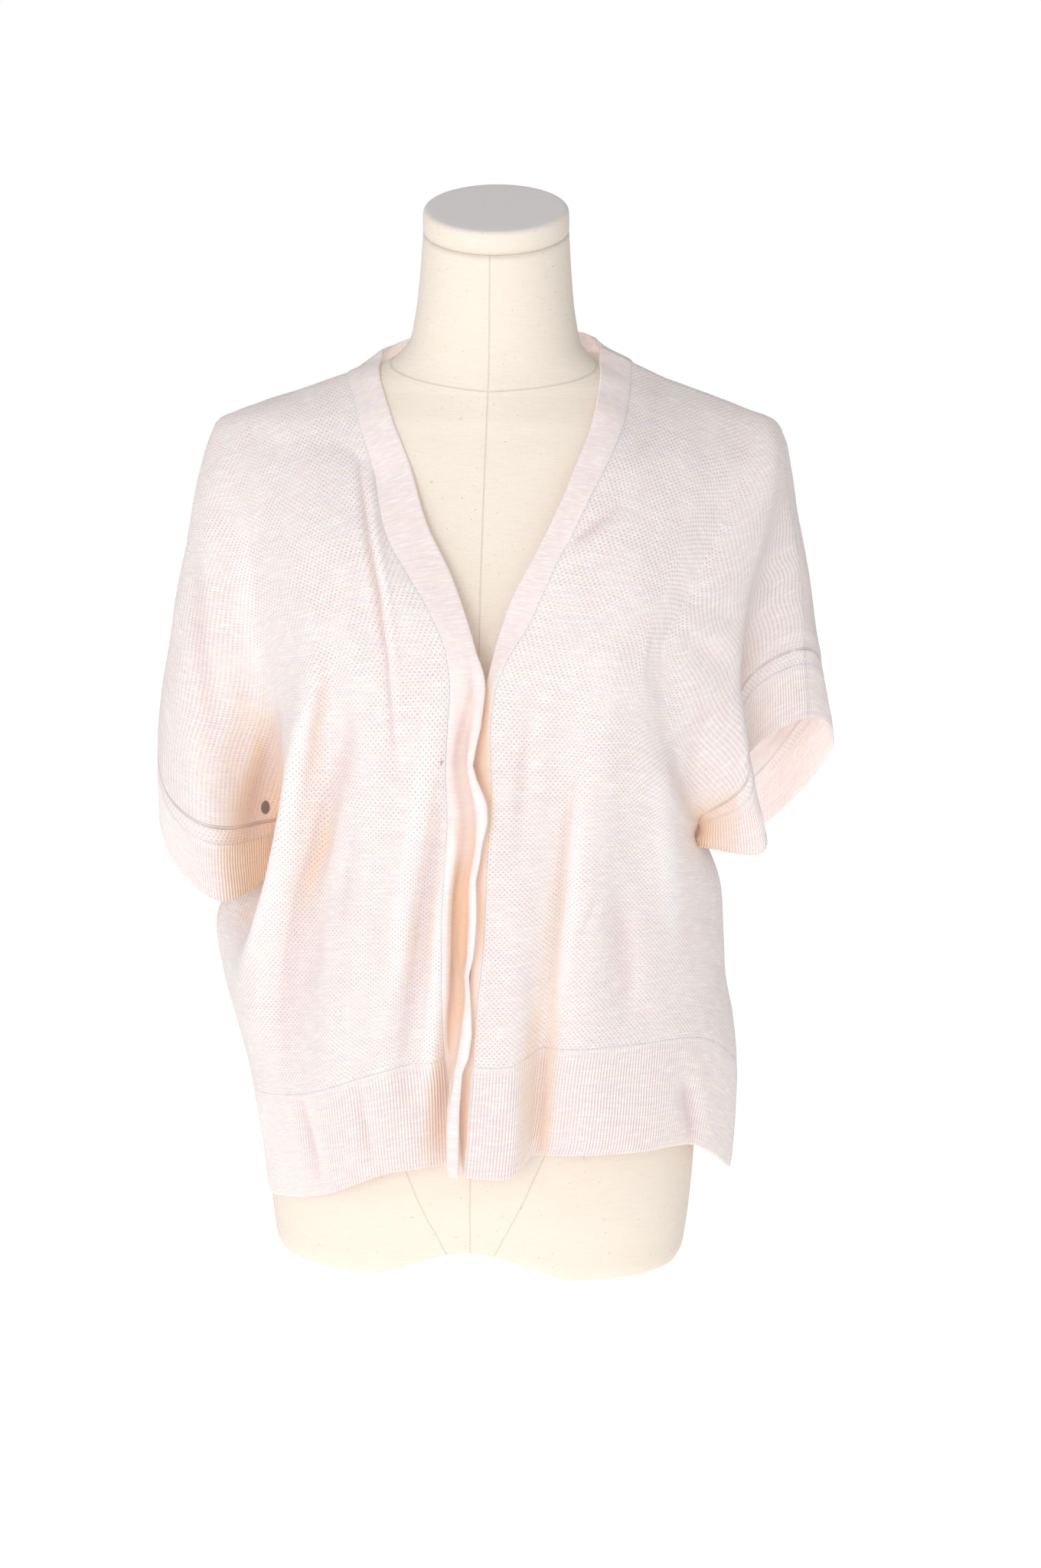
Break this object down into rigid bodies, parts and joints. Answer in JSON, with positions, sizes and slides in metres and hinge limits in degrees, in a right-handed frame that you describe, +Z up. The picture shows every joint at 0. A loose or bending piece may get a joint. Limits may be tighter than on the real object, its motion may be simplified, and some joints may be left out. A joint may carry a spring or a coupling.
{
  "type": "cardigan on dress form",
  "caption": "Open-front knit cardigan with short dolman sleeves, plain front and neck bands, ribbed hem and cuffs, worn by a limbless linen-covered dress form.",
  "frame": {"origin": "on the floor under the middle of the bounding box, between the two thigh stubs", "axes": "+Z up along the neck, -Y is the wearer's front, +X is the wearer's left hand side"},
  "size_m": [0.4973, 0.2643, 0.7852],
  "materials": {
    "form_linen": "cream linen cover, matte",
    "cap_cloth": "grey-beige cloth cap, matte",
    "knit": "oatmeal and pink melange knit, matte",
    "rib": "fine rib knit of the same yarn, matte",
    "band": "plain tight knit of the same yarn, matte"
  },
  "bodies": {
    "root": {"dress_form": "form_linen", "neck_cap": "cap_cloth", "front_right": "knit", "front_left": "knit", "back": "knit", "hem_front_right": "rib", "hem_front_left": "rib", "hem_back": "rib", "cuff_front_right": "rib", "cuff_back_right": "rib", "cuff_front_left": "rib", "cuff_back_left": "rib", "band_right": "band", "band_left": "band"}
  },
  "joints": []
}
